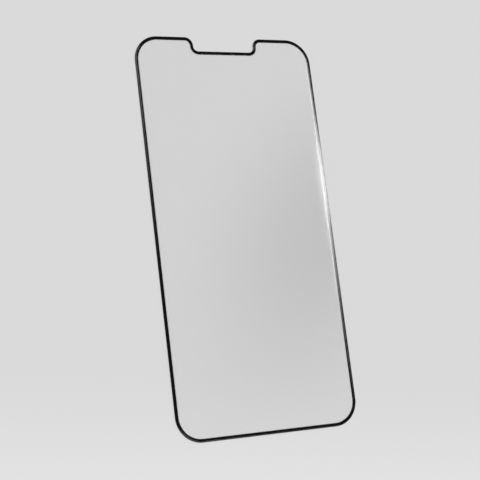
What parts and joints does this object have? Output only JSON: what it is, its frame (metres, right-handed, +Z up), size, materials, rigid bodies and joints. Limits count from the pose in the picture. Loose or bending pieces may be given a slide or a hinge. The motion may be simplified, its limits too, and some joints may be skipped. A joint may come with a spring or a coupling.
{
  "type": "phone screen protector",
  "caption": "Clear tempered glass sheet with rounded corners, a notched top edge, a rounded front rim and a black printed border, laid over a phone's display.",
  "frame": {"origin": "centre of the sheet's outline, on the plane of the border's underside that it rests on", "axes": "+X across the sheet, to the right as seen from the front with the notch at the top; +Y along the sheet, towards the notch; +Z up, out of the front face"},
  "size_m": [0.0688, 0.1424, 0.0005],
  "materials": {
    "clear_glass": "polished",
    "black_ink": "satin"
  },
  "bodies": {
    "root": {"glass_panel": "clear_glass", "printed_border": "black_ink"}
  },
  "joints": []
}
